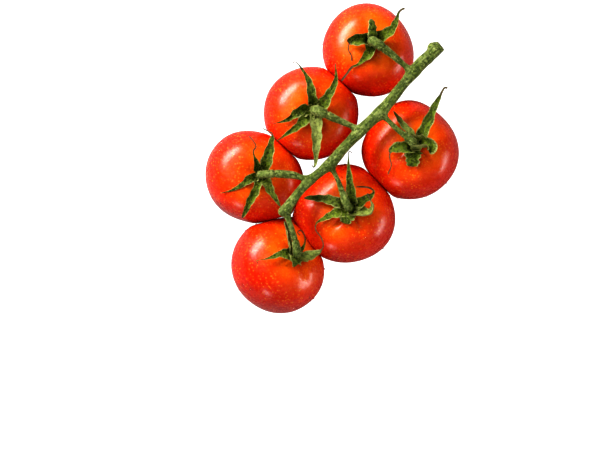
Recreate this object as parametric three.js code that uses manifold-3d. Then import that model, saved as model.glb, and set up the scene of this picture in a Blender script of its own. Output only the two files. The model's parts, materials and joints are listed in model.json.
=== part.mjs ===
// A truss of six cocktail tomatoes, lying on a table with its calyxes up.
// Millimetres, +Z up from the table at z = 0, +Y along the stem from its tip to its cut end.
// Each fruit is a soft ball pressed against its neighbours and the table. The stem, with the near half of each
// fruit stalk, is one solid that ends at the knuckles, where a ripe fruit snaps off with its pedicel and calyx.
import * as THREE from "three";
import Module from "manifold-3d";
import { mergeVertices } from "three/addons/utils/BufferGeometryUtils.js";

// ---- driving dimensions ----

const restGap = 0.4; // air between neighbouring solids
const boxMiddle = [0.93, -1.22]; // x and y of the middle of the whole truss, measured from the stem

const skin = {
  polarRadius: 15.8, // from a fruit's middle to its blossom end and to its shoulders
  squareness: 2.3, // 2 is an ellipsoid, more is boxier
  dimpleDepth: 2.3, // at the stem end
  dimpleAngle: 0.36, // radians from the fruit's axis
  ribHeight: 0.018, // of the shoulder pleats, as a share of the radius
  ribs: 5,
  pressure: 30, // how sharply a fruit turns flat against a neighbour
  rings: 14,
  segments: 24,
};

const disc = { radius: 2.2, thickness: 1.1, lift: 0.8, sides: 12 }; // the button that the sepals grow from
const sepalForm = {
  thickness: 0.55,
  edgeThickness: 0.45, // as a share of the thickness, halfway out to the edge
  fold: 0.3, // how far the edges stand above the midrib, as a share of the half width
  tipRadius: 0.24,
  baseShare: 0.5, // width at the base, as a share of the full width
  taper: 1.6, // 1 narrows evenly from base to tip, more keeps the width for longer
  bendShare: 0.55, // most that the half width may be, as a share of the radius of a bend in the path
  rings: 10,
};
const stemForm = { sides: 9, step: 2.8 };

const stemColor = 0x6f8a3a;
const sepalColor = 0x4f7a2a;
const skinColor = 0xd61f0c;

// The stem from its cut end to its tip: x, y, z and radius.
const rachisPath = [
  [0.5, 61.4, 33.2, 2.15],
  [0.3, 59.6, 33.2, 2.4],
  [0.0, 55.0, 33.3, 2.45],
  [-0.3, 50.0, 33.5, 2.5],
  [-0.1, 45.5, 33.7, 2.35],
  [0.2, 40.5, 33.9, 1.95],
  [0.7, 35.0, 34.1, 2.1],
  [1.1, 30.0, 34.2, 2.2],
  [1.3, 25.5, 34.3, 2.5],
  [0.8, 20.0, 34.3, 2.2],
  [0.6, 15.0, 34.4, 2.25],
  [0.5, 10.0, 34.5, 2.05],
  [0.5, 5.0, 34.6, 2.0],
  [0.8, 0.0, 34.7, 2.2],
  [0.7, -3.5, 34.8, 2.15],
  [0.1, -8.5, 34.9, 1.75],
  [-0.5, -13.5, 35.0, 1.85],
  [-0.5, -18.0, 35.2, 1.7],
  [-0.1, -23.0, 35.5, 1.8],
  [0.6, -27.6, 35.8, 2.1],
];

// Swellings on the stem: x, y, z and radius.
const rachisKnobs = [
  [-1.5, 58.6, 33.2, 1.8], // scar of a side shoot beside the cut
  [0.3, -29.4, 35.6, 1.75], // the stem's own tip, beside the last fruit's stalk
];

// Each fruit: where its middle is, its outline seen from above (radius, and how oval and how three-sided it is,
// each with the bearing of its long side in degrees), and where its calyx is. branch is the near half of its stalk,
// which is one piece with the stem, as far as the knuckle; pedicel is the far half, down to the calyx. Both give
// x, y, z and radius. A sepal's path starts just outside the calyx's disc.
const fruits = [
  {
    centre: [-19.4, 41.1, 15.3],
    radius: 18.3,
    oval: [0.039, -9],
    threeSided: [0.018, 6],
    calyx: [-20.2, 43.9],
    branch: [
      [-0.4, 45.6, 33.8, 1.9],
      [-4, 45.7, 34.5, 1.3],
      [-8, 45.5, 35.5, 1.5],
      [-12, 45.2, 36.4, 1.75],
      [-15.3, 44.8, 37, 1.95],
    ],
    pedicel: [
      [-17.4, 44.5, 37.2, 2.1],
      [-19.7, 44.1, 36.3, 2.15],
      [-20.6, 43.9, 34.2, 1.95],
    ],
    sepals: [
      { width: 4.6, path: [[-18.4, 49.4, 32.4], [-18, 53, 32], [-19.2, 56.8, 30.6], [-21, 59.2, 30.6], [-20.3, 62.2, 31.6]] },
      { width: 4.1, path: [[-23.6, 47.6, 33.2], [-25.6, 49.3, 35.8], [-26.5, 50, 38.4], [-25.6, 49.4, 40.3], [-23.8, 48.2, 40.6]] },
      { width: 4.8, path: [[-24.8, 40.6, 32.2], [-27, 38.6, 31.8], [-27.2, 36.8, 30.6], [-25.6, 35.8, 30.6], [-23.4, 35.6, 30.8], [-21.3, 33, 30.4]] },
      { width: 4.1, path: [[-18.1, 39.4, 32.2], [-17.9, 36, 31.6], [-18.8, 31.8, 30.4], [-19.4, 28.4, 29.8], [-18.7, 24.7, 29.6]] },
      { width: 3.1, path: [[-15.2, 44.5, 31.5], [-12, 44.8, 31], [-9, 45, 30]] },
    ],
  },
  {
    centre: [-18.8, 7.1, 15.3],
    radius: 18.8,
    oval: [0.009, 31],
    threeSided: [0.006, -46],
    calyx: [-18.3, 8.3],
    branch: [
      [0.4, 14.4, 34.3, 1.95],
      [-3.2, 13.9, 34.8, 1.3],
      [-6.4, 12.8, 35.4, 1.45],
      [-10, 11.5, 36.1, 1.7],
      [-13.4, 10.3, 36.7, 2],
    ],
    pedicel: [
      [-15.4, 9.6, 36.8, 2.15],
      [-17.4, 8.9, 35.9, 2.2],
      [-18.3, 8.5, 33.8, 1.95],
    ],
    sepals: [
      { width: 4.6, path: [[-17.6, 14, 32.4], [-17.9, 18, 32.4], [-19.6, 22, 32.2], [-22.2, 25, 32.2], [-25.2, 27.7, 32.4]] },
      { width: 3.9, path: [[-23, 12.2, 32.2], [-26, 14.6, 32.2], [-29, 15.7, 31.4], [-32.5, 16.4, 31], [-35.6, 17.1, 31.6], [-37.6, 16.8, 32.2], [-37.3, 15.7, 32.6]] },
      { width: 4, path: [[-22.6, 4.6, 31.9], [-22.8, 1, 31.7], [-23.2, -1.6, 31.2], [-24.8, -4.4, 30.4], [-26.7, -7, 29.6]] },
      { width: 3.8, path: [[-18.5, 2.9, 31.9], [-18.4, -1, 31.8], [-19.1, -4.8, 31.4], [-20, -8, 31], [-20.8, -11, 30.8]] },
      { width: 4.4, path: [[-13.7, 5.2, 32.2], [-10.8, 1.7, 32.2], [-7.8, -1.4, 31.6], [-5, -4.6, 31], [-3.2, -7, 31.2], [-3, -8.3, 31.8], [-4.3, -8, 32.4]] },
    ],
  },
  {
    centre: [-18.4, -27.4, 15.3],
    radius: 18.6,
    oval: [0.047, 24],
    threeSided: [0.026, 38],
    calyx: [-16.4, -25],
    branch: [
      [-0.6, -12.8, 35, 1.8],
      [-3.6, -14.4, 35.3, 1.3],
      [-7, -16.3, 35.8, 1.75],
      [-10.4, -18.9, 36.2, 1.85],
      [-12.4, -20.7, 36.4, 1.8],
    ],
    pedicel: [
      [-14, -22.3, 36.2, 1.7],
      [-15.6, -24, 35.1, 1.7],
      [-16.3, -24.8, 33.4, 1.6],
    ],
    sepals: [
      { width: 4.9, path: [[-17.3, -20.4, 32.2], [-20.6, -16.6, 33], [-22.6, -13, 33.2], [-24.3, -10.2, 32.8], [-26.4, -10.3, 32], [-28.6, -11.1, 31.8]] },
      { width: 4.2, path: [[-21, -23.2, 32.2], [-23, -21.1, 33.2], [-24.3, -19.4, 33.6], [-25.6, -18.2, 33], [-27.8, -17, 32.4]] },
      { width: 3.5, path: [[-18.2, -29.8, 31.8], [-19, -33.6, 31], [-20.4, -37, 30], [-22.8, -41, 28.8]] },
      { width: 3.3, taper: 3.2, path: [[-13.7, -29.4, 32], [-12.3, -33.2, 31.6], [-11, -37.6, 30.6], [-9.7, -42.2, 29.2]] },
      { width: 4.3, path: [[-11.6, -25.4, 32.2], [-8, -26.7, 32.4], [-4.8, -28.3, 31.8], [-1.8, -30, 31]] },
    ],
  },
  {
    centre: [13.9, -47, 16],
    radius: 18.4,
    oval: [0.038, 8],
    threeSided: [0.005, 35],
    calyx: [15.7, -38.6],
    branch: [
      [0.9, -28.2, 35.8, 1.9],
      [4.4, -30.3, 35.9, 1.35],
      [8, -32.2, 35.8, 1.3],
      [11.4, -34.2, 35.2, 1.5],
    ],
    pedicel: [
      [13.2, -35.4, 34.6, 1.7],
      [15, -36.8, 33.4, 1.85],
      [15.9, -37.7, 31.7, 1.75],
    ],
    sepals: [
      { width: 4.4, path: [[12.1, -41.7, 32.4], [10.4, -43.4, 34.2], [8.8, -46.2, 34.8], [7.2, -48.8, 34.8], [6.1, -50.4, 34.6], [7.4, -51, 34.8]] },
      { width: 4.8, path: [[17.3, -41.6, 31.6], [17.9, -42.2, 33.8], [17.9, -41.6, 35.8], [17.2, -40.2, 36.6]] },
      { width: 3.8, path: [[19.6, -36.4, 30.6], [21.3, -33.4, 31.8], [21.9, -30.6, 32.6], [21.4, -28.4, 33], [20, -27.1, 33], [17, -26.6, 33], [14.4, -25.8, 33]] },
      { width: 3.5, path: [[15.8, -34.3, 29.7], [14.9, -32.2, 30.4], [13.6, -30.4, 31.6], [12, -29.4, 32.2], [10.6, -29.7, 32.4], [10.5, -30.8, 32.2]] },
      { width: 3.5, path: [[11.3, -37, 31.2], [9, -35.6, 32], [6, -33.6, 32.4], [3.2, -32, 32.4]] },
    ],
  },
  {
    centre: [19.8, -12.6, 15.3],
    radius: 19.2,
    oval: [0.025, -39],
    threeSided: [0.037, 22],
    calyx: [18.7, -10.3],
    branch: [
      [0.9, -3, 34.7, 1.8],
      [4, -4.1, 34.3, 1.15],
      [7, -5.2, 33.9, 1.1],
      [10, -6.6, 33.6, 1.25],
      [11.8, -7.5, 33.6, 1.5],
    ],
    pedicel: [
      [13.6, -8.4, 33.6, 1.7],
      [16, -9.6, 33.7, 1.8],
      [17.9, -10.2, 33, 1.75],
    ],
    sepals: [
      { width: 4.6, path: [[17, -6.2, 33.4], [14.9, -3.9, 36.6], [11, -1.6, 37.8], [7.6, 1.2, 38], [4.6, 4, 38.2], [3, 5.9, 38.6], [4.2, 6.3, 38.9]] },
      { width: 4, path: [[14, -12, 32.2], [10.6, -13.6, 32.2], [7.2, -15.8, 31.2], [4.6, -18, 30], [2.9, -19.8, 29.2]] },
      { width: 4.2, path: [[17, -15.2, 32.2], [15.4, -18.6, 32], [13.9, -21.6, 31.4], [12.9, -23.4, 31], [13.5, -24.8, 30.6]] },
      { width: 3.7, path: [[21.3, -13.7, 32], [22, -15.2, 33.2], [21.2, -16, 34.6], [19.8, -15.8, 35]] },
      { width: 4.4, path: [[22.8, -9.8, 32], [25, -7.8, 33.2], [26, -5.5, 34.2], [24.3, -2.9, 34.8], [21.6, -2.2, 34.8], [19.6, -1.3, 34.6]] },
      { width: 3.2, path: [[20.7, -6.6, 31.4], [20.8, -3.4, 31.8], [21.6, -0.6, 32.2], [20.2, 1.1, 32.4], [18.2, 0.6, 32.4], [16.4, -0.8, 32.2], [14.6, -2.2, 32]] },
    ],
  },
  {
    centre: [21, 23.5, 15.3],
    radius: 18.9,
    oval: [0.016, -22],
    threeSided: [0.019, 41],
    calyx: [20.3, 25.5],
    branch: [
      [1.2, 25.6, 34.3, 2],
      [5, 25.4, 34.6, 1.25],
      [9, 25.3, 35, 1.2],
      [12.4, 25.4, 35.3, 1.3],
      [14.8, 25.6, 35.5, 1.6],
    ],
    pedicel: [
      [16.8, 25.8, 35.5, 1.85],
      [19, 25.9, 34.9, 2],
      [20.1, 25.7, 33.4, 1.85],
    ],
    sepals: [
      { width: 4.5, path: [[19, 31.4, 33], [17.7, 35.8, 33.4], [16.2, 40.2, 33.4], [14.9, 44.4, 33.4], [13.4, 48.4, 33.8], [13.1, 50.3, 34], [14, 50.8, 34.2]] },
      { width: 3.5, path: [[15.6, 27.8, 31.6], [12, 28.3, 31.2], [8.6, 28.4, 30.2], [5.6, 28.2, 29.4]] },
      { width: 4.4, path: [[23.2, 29.2, 32.2], [25, 30.8, 33.6], [25.9, 30.2, 35.2], [25, 28.6, 36], [23.4, 28.2, 35.8]] },
      { width: 4.8, path: [[23.6, 22.8, 32.2], [25.2, 20.8, 32.8], [25, 18.9, 32.4], [23.4, 18.2, 31.6]] },
      { width: 4.3, path: [[17, 21.6, 32.2], [15, 19.4, 32.6], [14.5, 17.2, 32.2], [16, 16, 31.6], [18.2, 13.2, 31], [20.2, 9.8, 30]] },
    ],
  },
];

// Pairs of fruits that have grown pressed together, by their places in the list.
const pressedPairs = [[0, 1], [1, 2], [2, 3], [3, 4], [4, 5]];

// ---- shapes ----

const up = new THREE.Vector3(0, 0, 1);
const east = new THREE.Vector3(1, 0, 0);
const vector = (p) => new THREE.Vector3(p[0], p[1], p[2]);
const smoothStep = (t) => THREE.MathUtils.smoothstep(t, 0, 1);

// The mean of some points.
const meanOf = (points) => points.reduce((sum, p) => sum.add(p), new THREE.Vector3()).divideScalar(points.length);

// A closed surface through rings of points. Each ring turns counter-clockwise about the way from ring to ring.
// The first and last rings are closed by fans of triangles from the point that poleOf gives.
function loft(rings, poleOf = meanOf) {
  const sides = rings[0].length;
  const points = [...rings.flat(), poleOf(rings[0]), poleOf(rings.at(-1))];
  const first = points.length - 2;
  const last = points.length - 1;
  const top = (rings.length - 1) * sides;
  const faces = [];
  for (let i = 0; i < sides; i++) {
    const j = (i + 1) % sides;
    faces.push(first, j, i, last, top + i, top + j);
    for (let k = 0; k < top; k += sides) {
      faces.push(k + i, k + j, k + sides + j, k + i, k + sides + j, k + sides + i);
    }
  }
  return new THREE.BufferGeometry().setFromPoints(points).setIndex(faces);
}

// The axis of a fruit: the unit vector from its middle to its calyx.
function stemAxis(fruit) {
  const lean = new THREE.Vector2(fruit.calyx[0] - fruit.centre[0], fruit.calyx[1] - fruit.centre[1]);
  const reach = skin.polarRadius - skin.dimpleDepth + disc.lift;
  return new THREE.Vector3(lean.x, lean.y, Math.sqrt(reach ** 2 - lean.lengthSq())).normalize();
}

// The flat faces that press on a fruit: each one's outward normal and how far it is from the fruit's middle.
function pressingFaces(index) {
  const own = vector(fruits[index].centre);
  const neighbours = pressedPairs.filter((pair) => pair.includes(index)).map((pair) => pair[0] + pair[1] - index);
  return neighbours.map((other) => {
    const way = vector(fruits[other].centre).sub(own).setZ(0);
    return { distance: way.length() / 2, normal: way.normalize() };
  });
}

// How far the skin is from the fruit's middle in a direction: a boxy ellipsoid, dimpled and pleated at the stem end,
// and cut down by a soft minimum where a neighbour presses on it.
function skinRadius(fruit, direction) {
  const along = direction.dot(fruit.axis);
  const polar = Math.acos(THREE.MathUtils.clamp(along, -1, 1));
  const bearing = Math.atan2(direction.dot(fruit.north), direction.dot(fruit.east));
  const toward = ([amount, degrees], sides) =>
    amount * Math.cos(sides * (bearing - THREE.MathUtils.degToRad(degrees)));
  const equator = fruit.radius * (1 + toward(fruit.oval, 2) + toward(fruit.threeSided, 3));
  const boxed =
    ((Math.sin(polar) / equator) ** skin.squareness + (Math.abs(along) / skin.polarRadius) ** skin.squareness) **
    (-1 / skin.squareness);
  const shoulder = Math.exp(-(((polar - 0.45) / 0.25) ** 2));
  const pleat = skin.ribHeight * shoulder * Math.cos(skin.ribs * bearing);
  const dimple = skin.dimpleDepth * Math.exp(-((polar / skin.dimpleAngle) ** 2));
  const free = boxed * (1 + pleat) - dimple;
  const pressed = fruit.faces
    .map((face) => Math.max(direction.dot(face.normal), 1e-3) / face.distance)
    .reduce((sum, inverse) => sum + inverse ** skin.pressure, free ** -skin.pressure);
  return pressed ** (-1 / skin.pressure);
}

// A fruit, with a flat patch where it rests on the table.
function fruitGeometry(fruit) {
  const centre = vector(fruit.centre);
  const rings = [];
  for (let k = 1; k < skin.rings; k++) {
    const polar = Math.PI * (1 - k / skin.rings);
    const ring = [];
    for (let i = 0; i < skin.segments; i++) {
      const direction = new THREE.Vector3().setFromSphericalCoords(1, polar, 0);
      direction.set(direction.z, direction.x, direction.y);
      direction.applyAxisAngle(up, (2 * Math.PI * i) / skin.segments);
      const point = direction.clone().multiplyScalar(skinRadius(fruit, direction)).add(centre);
      ring.push(point.setZ(Math.max(point.z, 0)));
    }
    rings.push(ring);
  }
  return loft(rings);
}

// Unit vectors along a curve, and normals carried along it without twisting.
function carriedFrames(curve, steps, firstNormal) {
  const frames = [];
  const normal = firstNormal.clone();
  for (let k = 0; k <= steps; k++) {
    const tangent = curve.getTangentAt(k / steps);
    normal.addScaledVector(tangent, -normal.dot(tangent)).normalize();
    const side = new THREE.Vector3().crossVectors(normal, tangent);
    frames.push({ at: curve.getPointAt(k / steps), tangent, normal: normal.clone(), side });
  }
  return frames;
}

// A smooth curve through points, with the radius of each point carried in between.
function stemCurve(stations) {
  const curve = new THREE.CatmullRomCurve3(stations.map(vector), false, "centripetal");
  const radii = new THREE.CatmullRomCurve3(stations.map((p) => new THREE.Vector3(p[3], 0, 0)));
  const radiusAt = (share) => radii.getPoint(curve.getUtoTmapping(share)).x;
  return { curve, radiusAt };
}

// A round stalk with flat ends, from its list of x, y, z and radius. startGap shortens its first end.
function stalkGeometry(stations, startGap = 0) {
  const { curve, radiusAt } = stemCurve(stations);
  const steps = Math.ceil(curve.getLength() / stemForm.step);
  const frames = carriedFrames(curve, steps, up.clone().add(east.clone().multiplyScalar(0.01)));
  frames[0].at.addScaledVector(frames[0].tangent, startGap);
  const rings = frames.map((frame, k) => {
    const radius = radiusAt(k / steps);
    return Array.from({ length: stemForm.sides }, (_, i) => {
      const turn = (2 * Math.PI * i) / stemForm.sides;
      return frame.at
        .clone()
        .addScaledVector(frame.side, radius * Math.cos(turn))
        .addScaledVector(frame.normal, radius * Math.sin(turn));
    });
  });
  return loft(rings);
}

// The disc of a calyx: a low button on the fruit's axis, above the bottom of the dimple.
function discGeometry(fruit) {
  const { radius, thickness, sides } = disc;
  const profile = [
    [0, 0],
    [radius * 0.7, 0],
    [radius, thickness * 0.45],
    [radius * 0.8, thickness],
    [0, thickness],
  ].map(([r, h]) => new THREE.Vector2(r, h));
  const lathe = new THREE.LatheGeometry(profile, sides);
  lathe.applyQuaternion(new THREE.Quaternion().setFromUnitVectors(new THREE.Vector3(0, 1, 0), fruit.axis));
  return lathe.translate(...fruit.discFoot.toArray());
}

// Half the width of a sepal, as a share of its full width: it swells from its base, then tapers to a thread.
function sepalHalfWidth(share, taper) {
  const swell = sepalForm.baseShare + (1 - sepalForm.baseShare) * smoothStep(share / 0.3);
  return (swell * (1 - share ** taper)) / 2;
}

// A sepal: a channelled blade along its path, thickest at the midrib, held clear of the fruit's skin.
function sepalGeometry(fruit, sepal) {
  const middle = vector(fruit.centre);
  const discMiddle = fruit.discFoot.clone().addScaledVector(fruit.axis, disc.thickness * 0.55);
  const outward = vector(sepal.path[0]).sub(discMiddle);
  outward.addScaledVector(fruit.axis, -outward.dot(fruit.axis)).normalize();
  const base = discMiddle.clone().addScaledVector(outward, disc.radius + 1.25 * restGap);
  const curve = new THREE.CatmullRomCurve3([base, ...sepal.path.map(vector)], false, "centripetal");
  const frames = carriedFrames(curve, sepalForm.rings, base.clone().sub(middle));
  const taper = sepal.taper ?? sepalForm.taper;
  const across = [1, 0.5, 0, -0.5, -1];
  const rings = frames.map((frame, k) => {
    const bends = [frames[k - 1], frames[k + 1]].filter(Boolean).map((other) => {
      const turning = other.tangent.distanceTo(frame.tangent);
      return turning / other.at.distanceTo(frame.at);
    });
    const widest = sepalForm.bendShare / Math.max(...bends, 1e-6);
    const wanted = Math.min(sepal.width * sepalHalfWidth(k / sepalForm.rings, taper), widest);
    const half = Math.max(wanted, sepalForm.tipRadius);
    const slim = Math.min(1, half / 0.8);
    const thickness = Math.max(sepalForm.thickness * slim, 2 * sepalForm.tipRadius);
    const place = (u, below) =>
      frame.at
        .clone()
        .addScaledVector(frame.side, half * u)
        .addScaledVector(frame.normal, sepalForm.fold * half * u * u - below);
    const above = across.map((u) => place(u, 0));
    const under = across.slice(1, -1).reverse();
    const below = under.map((u) => place(u, thickness * (u === 0 ? 1 : sepalForm.edgeThickness)));
    const ring = [...above, ...below];
    const clearances = ring.map((point) => {
      const away = point.clone().sub(middle);
      return away.length() - skinRadius(fruit, away.normalize());
    });
    const push = Math.max(0, restGap - Math.min(...clearances));
    const outward = frame.at.clone().sub(middle).normalize();
    return ring.map((point) => point.addScaledVector(outward, push));
  });
  return loft(rings, (ring) => meanOf([ring[2], ring[6]])); // the two points on the midrib
}

// ---- solids ----

const wasm = await Module();
wasm.setup();

function solidOf(geometry) {
  const bare = geometry.index ? geometry.toNonIndexed() : geometry.clone();
  bare.deleteAttribute("normal");
  bare.deleteAttribute("uv");
  const merged = mergeVertices(bare, 1e-3);
  return new wasm.Manifold(
    new wasm.Mesh({
      numProp: 3,
      vertProperties: merged.attributes.position.array,
      triVerts: new Uint32Array(merged.index.array),
    }),
  );
}

function geometryOf(solid) {
  const { vertProperties, triVerts } = solid.getMesh();
  return new THREE.BufferGeometry()
    .setAttribute("position", new THREE.BufferAttribute(vertProperties, 3))
    .setIndex(new THREE.BufferAttribute(triVerts, 1));
}

// The stem, its swellings and the near halves of the fruit stalks, joined.
function rachisGeometry() {
  const knobs = rachisKnobs.map(([x, y, z, radius]) => new THREE.SphereGeometry(radius, 10, 8).translate(x, y, z));
  const branches = fruits.map((fruit) => stalkGeometry(fruit.branch));
  const stem = stalkGeometry(rachisPath);
  return geometryOf([stem, ...knobs, ...branches].map(solidOf).reduce((joined, solid) => joined.add(solid)));
}

// ---- the truss ----

const skinMaterial = new THREE.MeshStandardMaterial({ color: skinColor, roughness: 0.18, metalness: 0 });
const stemMaterial = new THREE.MeshStandardMaterial({ color: stemColor, roughness: 0.7, metalness: 0 });
const sepalMaterial = new THREE.MeshStandardMaterial({ color: sepalColor, roughness: 0.65, metalness: 0 });

const truss = new THREE.Group();

function addPiece(name, geometry, material) {
  const mesh = new THREE.Mesh(geometry, material);
  mesh.name = name;
  truss.add(mesh);
}

addPiece("rachis", rachisGeometry(), stemMaterial);
fruits.forEach((fruit, index) => {
  const number = index + 1;
  fruit.axis = stemAxis(fruit);
  fruit.east = east.clone().addScaledVector(fruit.axis, -east.dot(fruit.axis)).normalize();
  fruit.north = new THREE.Vector3().crossVectors(fruit.axis, fruit.east);
  fruit.faces = pressingFaces(index);
  const dimpleFloor = skinRadius(fruit, fruit.axis);
  fruit.discFoot = vector(fruit.centre).addScaledVector(fruit.axis, dimpleFloor + disc.lift);
  const knuckle = fruit.branch.at(-1);
  const endRadius = fruit.pedicel.at(-1)[3] * 0.95;
  const ending = [1.2, 0].map((height) => {
    const at = fruit.discFoot.clone().addScaledVector(fruit.axis, disc.thickness + restGap + height);
    return [...at.toArray(), endRadius];
  });
  const pedicel = [knuckle, ...fruit.pedicel, ...ending];
  addPiece(`tomato_${number}`, fruitGeometry(fruit), skinMaterial);
  addPiece(`pedicel_${number}`, stalkGeometry(pedicel, restGap), stemMaterial);
  addPiece(`calyx_disc_${number}`, discGeometry(fruit), sepalMaterial);
  fruit.sepals.forEach((sepal, place) => {
    const letter = String.fromCharCode("a".charCodeAt(0) + place);
    addPiece(`sepal_${number}${letter}`, sepalGeometry(fruit, sepal), sepalMaterial);
  });
});
truss.position.set(-boxMiddle[0], -boxMiddle[1], 0);

export default truss;
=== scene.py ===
import json
import math
import bpy
import numpy as np
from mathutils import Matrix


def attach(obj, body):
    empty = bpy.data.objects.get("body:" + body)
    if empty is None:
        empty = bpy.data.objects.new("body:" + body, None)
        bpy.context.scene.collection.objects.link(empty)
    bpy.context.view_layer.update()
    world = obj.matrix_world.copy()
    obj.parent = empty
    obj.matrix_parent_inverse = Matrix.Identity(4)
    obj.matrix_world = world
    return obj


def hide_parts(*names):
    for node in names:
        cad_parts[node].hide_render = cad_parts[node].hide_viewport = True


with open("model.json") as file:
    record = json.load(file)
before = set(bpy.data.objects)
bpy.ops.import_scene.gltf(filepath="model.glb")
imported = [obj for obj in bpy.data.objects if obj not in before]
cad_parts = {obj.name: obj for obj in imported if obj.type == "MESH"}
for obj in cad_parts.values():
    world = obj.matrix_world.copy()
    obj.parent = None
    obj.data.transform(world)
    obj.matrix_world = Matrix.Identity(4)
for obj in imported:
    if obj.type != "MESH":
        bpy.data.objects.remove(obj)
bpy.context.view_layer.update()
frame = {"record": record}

# A truss of six cocktail tomatoes on a pale table, seen from straight above.
# Lists of places are in millimetres from the stem, as the truss was laid out; everything made is in metres.

mm = 0.001
restingFaces = {m["name"]: np.array(m["pos_m"]) for m in frame["record"]["mounts"]}


stemRoute = [  # x, y, z and radius, from the cut end to the tip
    [0.5, 61.4, 33.2, 2.15], [0.3, 59.6, 33.2, 2.4], [0.0, 55.0, 33.3, 2.45], [-0.3, 50.0, 33.5, 2.5],
    [-0.1, 45.5, 33.7, 2.35], [0.2, 40.5, 33.9, 1.95], [0.7, 35.0, 34.1, 2.1], [1.1, 30.0, 34.2, 2.2],
    [1.3, 25.5, 34.3, 2.5], [0.8, 20.0, 34.3, 2.2], [0.6, 15.0, 34.4, 2.25], [0.5, 10.0, 34.5, 2.05],
    [0.5, 5.0, 34.6, 2.0], [0.8, 0.0, 34.7, 2.2], [0.7, -3.5, 34.8, 2.15], [0.1, -8.5, 34.9, 1.75],
    [-0.5, -13.5, 35.0, 1.85], [-0.5, -18.0, 35.2, 1.7], [-0.1, -23.0, 35.5, 1.8], [0.6, -27.6, 35.8, 2.1],
]
stemKnobs = [[-1.5, 58.6, 33.2, 1.8], [0.3, -29.4, 35.6, 1.75]]  # a side shoot's scar and the stem's own tip

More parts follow.
